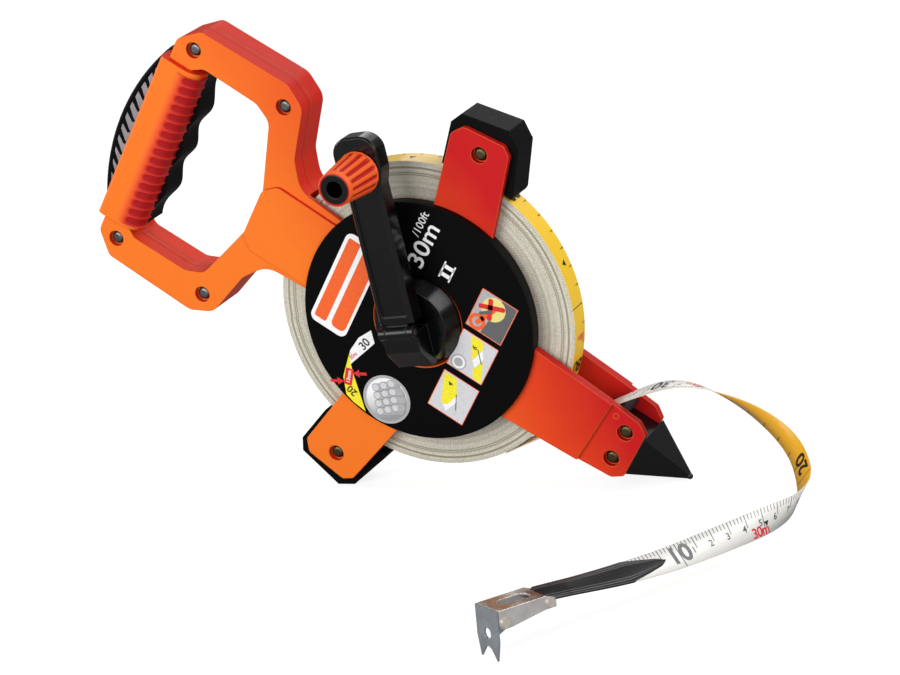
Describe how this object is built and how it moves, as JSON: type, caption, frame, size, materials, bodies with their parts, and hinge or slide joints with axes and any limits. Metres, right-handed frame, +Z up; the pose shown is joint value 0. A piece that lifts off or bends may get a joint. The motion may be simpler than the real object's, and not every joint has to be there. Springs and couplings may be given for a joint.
{
  "type": "surveyor tape reel",
  "caption": "Open-frame surveyor tape reel with D handle, cranked drum, ground spike, rubber feet and a printed tape ending in a folding steel hook.",
  "frame": {"origin": "on the ground under the middle of the frame, handle, reel and crank, at the centre of their bounding box", "axes": "+Z up as it stands on its lower foot and spike tip, +X towards the spike, -Y towards the crank side"},
  "size_m": [0.3862, 0.2243, 0.2491],
  "materials": {
    "frame_orange": "satin moulded orange plastic",
    "grip_rubber": "textured black rubber",
    "foot_rubber": "smooth black rubber",
    "spike_plastic": "black reinforced plastic",
    "screw_steel": "dark plated steel",
    "label": "printed black film",
    "bush": "natural acetal",
    "drum": "black moulded plastic",
    "tape_wound": "edges of wound coated fibreglass tape",
    "tape_free": "printed coated fibreglass tape",
    "crank_black": "black glass-filled plastic",
    "knob_orange": "satin moulded orange plastic",
    "sleeve_black": "black tube",
    "roller_white": "white acetal",
    "strip_black": "moulded black rubber-like strip",
    "hook_steel": "bright plated steel"
  },
  "bodies": {
    "frame": {"frame_front_shell": "frame_orange", "frame_rear_shell": "frame_orange", "palm_grip": "grip_rubber", "finger_grip": "grip_rubber", "lower_foot": "foot_rubber", "upper_foot": "foot_rubber", "ground_spike": "spike_plastic", "handle_screws": "screw_steel", "foot_screws": "screw_steel", "spike_screws": "screw_steel", "front_label": "label", "rear_label": "label", "axle_bushes": "bush", "guide_pin": "screw_steel", "tape_span": "tape_free", "tape_free_end": "tape_free", "end_strip": "strip_black"},
    "reel": {"reel_drum": "drum", "tape_roll": "tape_wound", "reel_axle": "screw_steel", "axle_cap": "drum", "crank_boss": "crank_black", "crank_hinge_pin": "screw_steel"},
    "crank": {"crank_arm": "crank_black", "knob_sleeve": "sleeve_black"},
    "knob": {"crank_knob": "knob_orange"},
    "guide": {"guide_roller": "roller_white"},
    "hook": {"hook_rear_pin": "hook_steel", "hook_bracket": "hook_steel", "hook_front_pin": "hook_steel"},
    "claw": {"hook_claw": "hook_steel"}
  },
  "joints": [
    {"name": "reel_spin", "type": "hinge", "parent": "frame", "child": "reel", "pos_m": [0.0257, 0.0245, 0.093], "axis": [0, -1, 0], "continuous": true},
    {"name": "crank_fold", "type": "hinge", "parent": "reel", "child": "crank", "pos_m": [0.02558, -0.0141, 0.095], "axis": [0.9982, 0, 0.0593], "range_deg": [0, 170]},
    {"name": "knob_spin", "type": "hinge", "parent": "crank", "child": "knob", "pos_m": [0.02057, -0.0139, 0.17935], "axis": [0, -1, 0], "continuous": true},
    {"name": "guide_roller_spin", "type": "hinge", "parent": "frame", "child": "guide", "pos_m": [0.12466, 0.0245, 0.03947], "axis": [0, -1, 0], "continuous": true},
    {"name": "hook_swing", "type": "hinge", "parent": "frame", "child": "hook", "pos_m": [0.1502, -0.153, 0.0179], "axis": [0.8645, -0.5026, 0], "range_deg": [-45, 20]},
    {"name": "claw_swing", "type": "hinge", "parent": "hook", "child": "claw", "pos_m": [0.13732, -0.17516, 0.01786], "axis": [0.8645, -0.5026, 0], "range_deg": [0, 75]}
  ]
}
